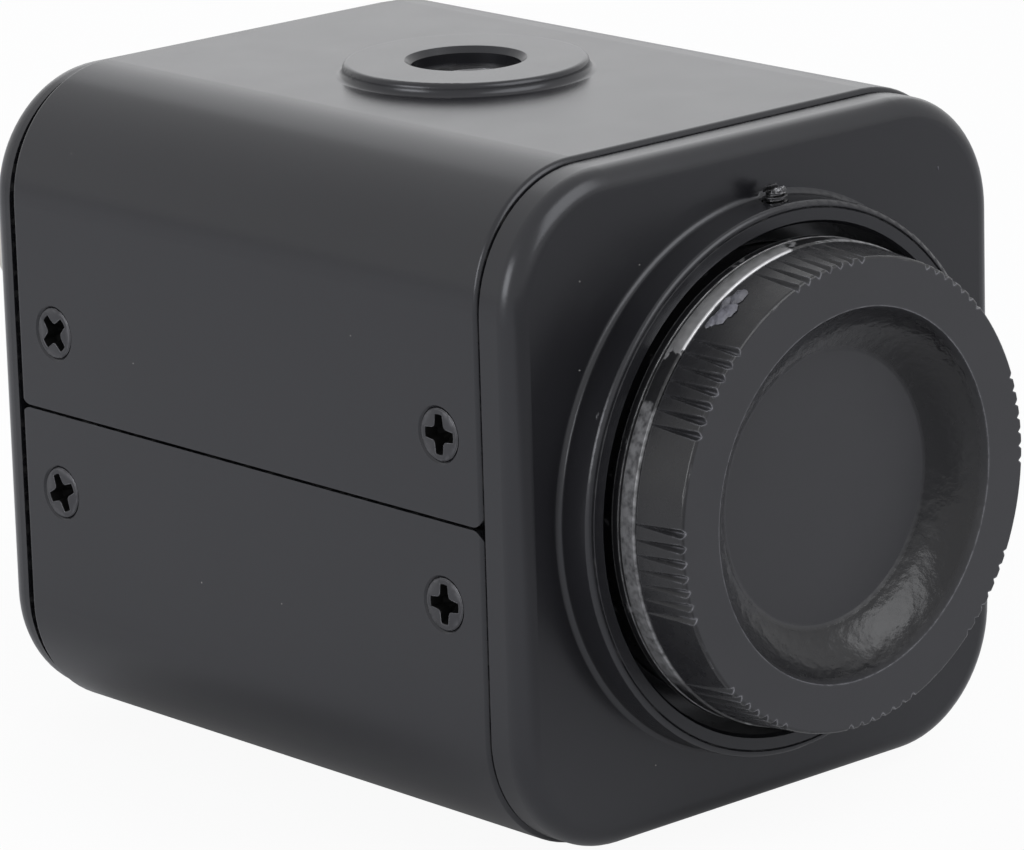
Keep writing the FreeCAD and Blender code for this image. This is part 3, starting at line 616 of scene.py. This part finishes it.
# ---------------------------------------------------------------- finishes of the CAD nodes
def dress_nodes():
    """Gives every CAD node its finish, and returns the finishes by the nodes' names."""
    paint = satin_paint()
    steel = plain_metal("bush_steel", (0.2, 0.2, 0.205), 0.35)
    screw = black_screw()
    zinc = plain_metal("zinc_plate", (0.5, 0.5, 0.51), 0.32)
    gold = plain_metal("gold_plate", (0.8, 0.58, 0.22), 0.25)
    nickel = plain_metal("nickel_plate", (0.62, 0.6, 0.56), 0.22)
    brass = plain_metal("turned_brass", (0.7, 0.52, 0.25), 0.3)
    black = plain_plastic("black_plastic", (0.018, 0.018, 0.019), 0.5)
    chip = plain_plastic("chip_epoxy", (0.02, 0.02, 0.021), 0.6)
    board = circuit_board()
    finishes = {
        "front_bezel": paint,
        "upper_cover": paint,
        "lower_cover": paint,
        "rear_panel": paint,
        "upper_tripod_bush": steel,
        "lower_tripod_bush": steel,
        "cover_screws": screw,
        "mount_lock_screw": screw,
        "mount_ring": worn_ring(),
        "dust_cap": cap_plastic(),
        "sensor_board": board,
        "main_board": board,
        "rear_board": board,
        "board_spacers": brass,
        "main_board_screws": zinc,
        "rear_board_screws": zinc,
        "sensor_link_header": black,
        "sensor_link_socket": black,
        "sensor_link_pins": gold,
        "rear_link_header": black,
        "rear_link_socket": black,
        "rear_link_pins": gold,
        "processor": chip,
        "memory_chip": chip,
        "image_sensor": plain_plastic("sensor_ceramic", (0.22, 0.2, 0.19), 0.45),
        "sensor_glass": glass("sensor_glass", (0.9, 0.95, 0.95)),
        "sensor_holder": black,
        "infrared_filter": glass("filter_glass", (0.55, 0.85, 0.9)),
        "filter_seal": plain_plastic("seal_rubber", (0.015, 0.015, 0.015), 0.75),
        "bnc_shell": nickel,
        "bnc_nut": nickel,
        "bnc_washer": nickel,
        "bnc_insulator": plain_plastic("white_insulator", (0.8, 0.8, 0.77), 0.4),
        "bnc_contact": gold,
        "power_jack": black,
        "power_jack_pin": nickel,
        "power_jack_leaf": nickel,
        "power_led": plain_plastic("lamp_resin", (0.45, 0.02, 0.015), 0.2),
        "led_spacer": black,
        "switch_bodies": black,
    }
    button = plain_plastic("button_plastic", (0.022, 0.022, 0.024), 0.4)
    for name in ("menu_button", "up_button", "down_button", "left_button", "right_button"):
        finishes[name] = button
    for name, node in frame["nodes"].items():
        node.data.materials.clear()
        node.data.materials.append(finishes[name])
    return finishes


# ---------------------------------------------------------------- pieces left to the scene
def band(low, high, count):
    """Faces between two closed rings of count points, which begin at the numbers low and high."""
    faces = []
    for index in range(count):
        after = (index + 1) % count
        faces.append((low + index, high + index, high + after, low + after))
    return faces


def about_upright(x, y):
    """Gives points by angle, radius and height about an upright axis through x and y."""
    def place(angle, radius, height):
        return (x + radius * math.cos(angle), y + radius * math.sin(angle), height)
    return place


def about_lens(angle, radius, y):
    """Point at an angle from straight up about the lens axis, positive towards +X."""
    return (radius * math.sin(angle), y, AXIS_Z + radius * math.cos(angle))


def mesh_piece(name, points, faces, finish, body, inner=None, inner_faces=()):
    """Object from points in millimetres, riding on a body of the CAD.

    The faces may wind either way. Those in inner_faces take the second finish."""
    mesh = bpy.data.meshes.new(name)
    mesh.from_pydata([Vector(point) * MM for point in points], [], faces)
    shell = bmesh.new()
    shell.from_mesh(mesh)
    bmesh.ops.recalc_face_normals(shell, faces=shell.faces)
    shell.to_mesh(mesh)
    shell.free()
    mesh.materials.append(finish)
    mesh.shade_smooth()
    mesh.set_sharp_from_angle(angle=math.radians(SHARP_ANGLE))
    if inner:
        mesh.materials.append(inner)
        for index in inner_faces:
            mesh.polygons[index].material_index = 1
    piece = bpy.data.objects.new(name, mesh)
    bpy.context.scene.collection.objects.link(piece)
    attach(piece, body)
    return piece


def thread_ridge(place, start, end, root, crest, pitch, steps=60):
    """Points and faces of one helical ridge, which rises and runs out within a third of a turn.

    place(angle, radius, height) gives a point of space. Root and crest are radii."""
    turns = abs(end - start) / pitch
    count = int(turns * steps)
    half_root, half_crest = 0.42 * pitch, 0.08 * pitch
    points = []
    for index in range(count + 1):
        share = index / count
        angle = 2 * math.pi * turns * share
        height = start + (end - start) * share
        full = min(1, share * turns * 3, (1 - share) * turns * 3)
        top = root + (crest - root) * max(full, 0.02)
        points.append(place(angle, root, height - half_root))
        points.append(place(angle, top, height - half_crest))
        points.append(place(angle, top, height + half_crest))
        points.append(place(angle, root, height + half_root))
    faces = [(0, 1, 2, 3), (4 * count + 3, 4 * count + 2, 4 * count + 1, 4 * count)]
    for index in range(count):
        faces += band(4 * index, 4 * index + 4, 4)
    return points, faces


def tripod_threads(steel):
    """Quarter-inch thread in both tripod bushes."""
    for node, side in (("upper_tripod_bush", 1), ("lower_tripod_bush", -1)):
        low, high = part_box(node)
        mouth, floor = (high.z, low.z) if side > 0 else (low.z, high.z)
        middle = (low + high) / 2 / MM
        start = mouth / MM - side * 0.45 * BUSH_THREAD_PITCH
        end = floor / MM + side * (BUSH_FLOOR + 0.5 * BUSH_THREAD_PITCH)
        crest = BUSH_THREAD_RADIUS - BUSH_THREAD_DEPTH
        points, faces = thread_ridge(about_upright(middle.x, middle.y), start, end,
                                     BUSH_THREAD_RADIUS, crest, BUSH_THREAD_PITCH)
        mesh_piece(node.replace("bush", "thread"), points, faces, steel, "camera_body")


def lens_threads(ring_finish, cap_finish):
    """Fine C-mount thread in the ring's bore and on the cap's plug."""
    front = FACE_Y - RING_FRONT_FROM_FACE
    bore, plug = C_MOUNT_RADIUS, C_MOUNT_RADIUS - 0.08
    rise = C_MOUNT_THREAD_RISE
    for name, start, end, root, crest, finish, body in (
        ("mount_thread", 0.6, 5.1, bore, bore - rise, ring_finish, "mount_ring"),
        ("cap_thread", 0.5, 3.3, plug, plug + rise, cap_finish, "dust_cap"),
    ):
        points, faces = thread_ridge(about_lens, front + start, front + end,
                                     root, crest, C_MOUNT_PITCH, 96)
        mesh_piece(name, points, faces, finish, body)


def cross_outline(tip, tip_half, root, root_half, corner):
    """Outline of a cross recess: six corners to an arm, and three points from each to the next."""
    arm = [
        (tip, -tip_half), (1.03 * tip, 0), (tip, tip_half),
        (root, root_half), (corner, corner), (root_half, root),
    ]
    outline = []
    for c, s in ((1, 0), (0, 1), (-1, 0), (0, -1)):
        outline += [(c * u - s * v, s * u + c * v) for u, v in arm]
    fine = []
    for index, (u, v) in enumerate(outline):
        after = outline[(index + 1) % len(outline)]
        for share in (0, 1 / 3, 2 / 3):
            fine.append((u + (after[0] - u) * share, v + (after[1] - v) * share))
    return fine


def screw_head():
    """Countersunk screw with its head up at z = 0: points, faces, and how many faces are recess.

    The faces of the deep cross recess come first."""
    top = cross_outline(1.24, 0.31, 0.58, 0.39, 0.46)
    count = len(top)
    turns = [math.atan2(v, u) for u, v in top]

    def ring(radius, z):
        return [(radius * math.cos(a), radius * math.sin(a), z) for a in turns]

    rim = SCREW_HEAD_RADIUS - 0.13
    shank, tip = 0.93, 0.6
    loops = [
        [(0.2 * u, 0.2 * v, -1.1) for u, v in top],
        [(u, v, -0.78) for u, v in cross_outline(0.92, 0.24, 0.44, 0.31, 0.36)],
        [(u, v, -0.06) for u, v in top],
        [(1.04 * u, 1.04 * v, -0.03) for u, v in top],
        ring(rim - 0.09, -0.03),
        ring(rim, -0.1),
        ring(rim - 0.02, -0.16),
        ring(shank, -0.92),
        ring(shank, -3.6),
        ring(tip, -3.9),
    ]
    points = [point for loop in loops for point in loop]
    faces = [tuple(range(count))]
    for level in range(len(loops) - 1):
        faces += band(level * count, (level + 1) * count, count)
    last = (len(loops) - 1) * count
    faces.append(tuple(reversed(range(last, last + count))))
    return points, faces, 1 + 2 * count


def cover_screws(finish):
    """The eight screws of the covers, each left at its own turn in its seat."""
    low, high = (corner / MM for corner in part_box("cover_screws"))
    points, faces, recess = [], [], []
    head_points, head_faces, recess_count = screw_head()
    levels = (low.z + SCREW_HEAD_RADIUS, high.z - SCREW_HEAD_RADIUS)
    places = [
        (side, y, z)
        for y in (low.y + SCREW_HEAD_RADIUS, high.y - SCREW_HEAD_RADIUS)
        for side in (-1, 1)
        for z in levels
    ]
    for (side, y, z), turn in zip(places, SCREW_TURNS):
        angle = math.radians(turn)
        base = len(points)
        for u, v, w in head_points:
            across = u * math.cos(angle) - v * math.sin(angle)
            up = u * math.sin(angle) + v * math.cos(angle)
            points.append((side * (high.x + w), y + side * across, z + up))
        recess += range(len(faces), len(faces) + recess_count)
        faces += [tuple(base + index for index in face) for face in head_faces]
    # The recess faces take a near black finish that is painted shade.
    screws = mesh_piece("cover_screw_set", points, faces, finish, "camera_body",
                        recess_painted_shade(), recess)
    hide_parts("cover_screws")


def lock_screw():
    """Slotted screw of the ring, backed out of the collar: thread, core and two chewed jaws."""
    low, high = (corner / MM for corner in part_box("mount_lock_screw"))
    place = about_upright((low.x + high.x) / 2, (low.y + high.y) / 2)
    top = AXIS_Z + COLLAR_RADIUS + LOCK_SCREW_PROUD
    slot_floor = top - 0.3
    core = LOCK_SCREW_RADIUS - 0.2
    jaw = LOCK_SCREW_RADIUS - 0.06
    jaw_start, jaw_turn = math.radians(28), math.radians(124)
    points, faces = thread_ridge(place, low.z + 0.2, slot_floor - 0.1, core - 0.02,
                                 LOCK_SCREW_RADIUS, LOCK_SCREW_PITCH, 32)
    count = 32
    base = len(points)
    for height in (low.z + 0.05, slot_floor):
        points += [place(2 * math.pi * index / count, core, height) for index in range(count)]
    faces.append(tuple(reversed(range(base, base + count))))
    faces.append(tuple(range(base + count, base + 2 * count)))
    faces += band(base, base + count, count)
    count = 14
    levels = ((slot_floor - 0.02, jaw, 0), (top - 0.12, jaw, 0), (top, jaw - 0.12, 1))
    for side in (0, math.pi):
        base = len(points)
        for height, radius, loose in levels:
            for index in range(count):
                angle = side + jaw_start + jaw_turn * index / (count - 1)
                chewed = 0.16 * noise.noise(Vector((4 * angle, 5 * height, 1.7)))
                points.append(place(angle, radius + 0.6 * chewed, height + loose * chewed))
        faces.append(tuple(reversed(range(base, base + count))))
        faces.append(tuple(range(base + 2 * count, base + 3 * count)))
        for level in (base, base + count):
            faces += band(level, level + count, count)
    screw = mesh_piece("lock_screw_thread", points, faces, worn_screw(), "camera_body")
    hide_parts("mount_lock_screw")


def lump(centre, across, up, out, size, seed, rings=5, sides=14):
    """Low irregular lump on a surface, with its rim sunk a little.

    size: half its width across and up, and its height."""
    wide, high, proud = size
    sunk = 0.02
    points = [tuple(centre + out * proud)]
    for level in range(1, rings + 1):
        share = level / rings
        for index in range(sides):
            angle = 2 * math.pi * index / sides
            c, s = math.cos(angle), math.sin(angle)
            ragged = 1 + 0.35 * noise.noise(Vector((2 * c, 2 * s, seed)))
            rough = 0.3 * noise.noise(Vector((6 * share * c, 6 * share * s, seed)))
            rise = proud * (math.cos(share * math.pi / 2) ** 0.6 * (1 + rough))
            rise -= sunk * (level == rings)
            points.append(tuple(centre + across * (wide * share * ragged * c)
                                + up * (high * share * ragged * s) + out * rise))
    faces = [(0, 1 + index, 1 + (index + 1) % sides) for index in range(sides)]
    for level in range(rings - 1):
        low = 1 + level * sides
        faces += band(low, low + sides, sides)
    last = 1 + (rings - 1) * sides
    faces.append(tuple(reversed(range(last, last + sides))))
    return points, faces


def lump_set(name, lumps, finish, body):
    """One piece from several lumps."""
    points, faces = [], []
    for made, made_faces in lumps:
        base = len(points)
        points += made
        faces += [tuple(base + index for index in face) for face in made_faces]
    return mesh_piece(name, points, faces, finish, body)


def blemishes(paint):
    """Torn moulding flash on the cap's grip, a blister in the paint, a chip and loose dust."""
    flash = torn_flash()
    forward, upward = Vector((0, -1, 0)), Vector((0, 0, 1))
    left, right = Vector((-1, 0, 0)), Vector((1, 0, 0))

    def on_axis(angle, radius, y, half_round, half_along, height, seed):
        """Lump on a cylinder about the lens axis, at an angle in degrees from straight up."""
        a = math.radians(angle)
        out = Vector((math.sin(a), 0, math.cos(a)))
        across = Vector((math.cos(a), 0, -math.sin(a)))
        return lump(Vector(about_lens(a, radius, y)), across, forward, out,
                    (half_round, half_along, height), seed)

    grip = CAP_RADIUS - 0.06
    lump_set("cap_flash", [
        on_axis(-34.0, grip, -31.95, 0.75, 0.56, 0.24, 1.0),
        on_axis(-32.0, grip, -32.2, 0.6, 0.5, 0.26, 2.0),
        on_axis(-35.8, grip, -31.65, 0.5, 0.36, 0.16, 3.0),
    ], flash, "dust_cap")
    lump_set("cap_flash_edge", [
        on_axis(-27.6, grip, -31.95, 0.75, 0.5, 0.3, 4.0),
        on_axis(-30.2, grip, -31.55, 0.7, 0.26, 0.3, 4.5),
        on_axis(-36.9, grip, -31.5, 0.45, 0.22, 0.14, 5.0),
    ], flash_edge(), "dust_cap")
    lump_set("collar_blister", [
        on_axis(-65.5, COLLAR_RADIUS - 0.02, -28.75, 0.28, 0.13, 0.09, 6.0),
    ], paint, "camera_body")

    def on_face(x, z, wide, high, seed):
        return lump(Vector((x, FACE_Y, z)), right, upward, forward, (wide, high, 0.05), seed, 2, 8)

    def on_side(y, z, size, seed):
        place = Vector((-BODY_HALF_WIDTH, y, z))
        return lump(place, forward, upward, left, (size, size, 0.02), seed, 2, 8)

    lump_set("face_chip", [on_face(15.9, 39.3, 0.05, 0.17, 7.0)], flash, "camera_body")
    lump_set("dust_specks", [
        on_face(-10.4, 37.9, 0.06, 0.05, 8.0),
        on_face(-15.4, 37.8, 0.05, 0.06, 9.0),
        on_face(-15.6, 32.3, 0.07, 0.05, 10.0),
        on_face(-10.0, 5.8, 0.06, 0.06, 11.0),
        on_side(3.5, 14.0, 0.07, 12.0),
        on_side(-4.4, 14.2, 0.06, 13.0),
        on_side(-12.0, 33.0, 0.05, 14.0),
        on_side(9.5, 27.5, 0.06, 15.0),
    ], dust(), "camera_body")


# ---------------------------------------------------------------- the scene
finishes = dress_nodes()
tripod_threads(finishes["upper_tripod_bush"])
lens_threads(finishes["mount_ring"], finishes["dust_cap"])
cover_screws(finishes["cover_screws"])
lock_screw()
blemishes(finishes["front_bezel"])
set_floor()
set_light()
set_camera()

visual_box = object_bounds()
boxes = {"cad": cad_box, "visual": visual_box}
{name: [list(corner) for corner in box] for name, box in boxes.items()}
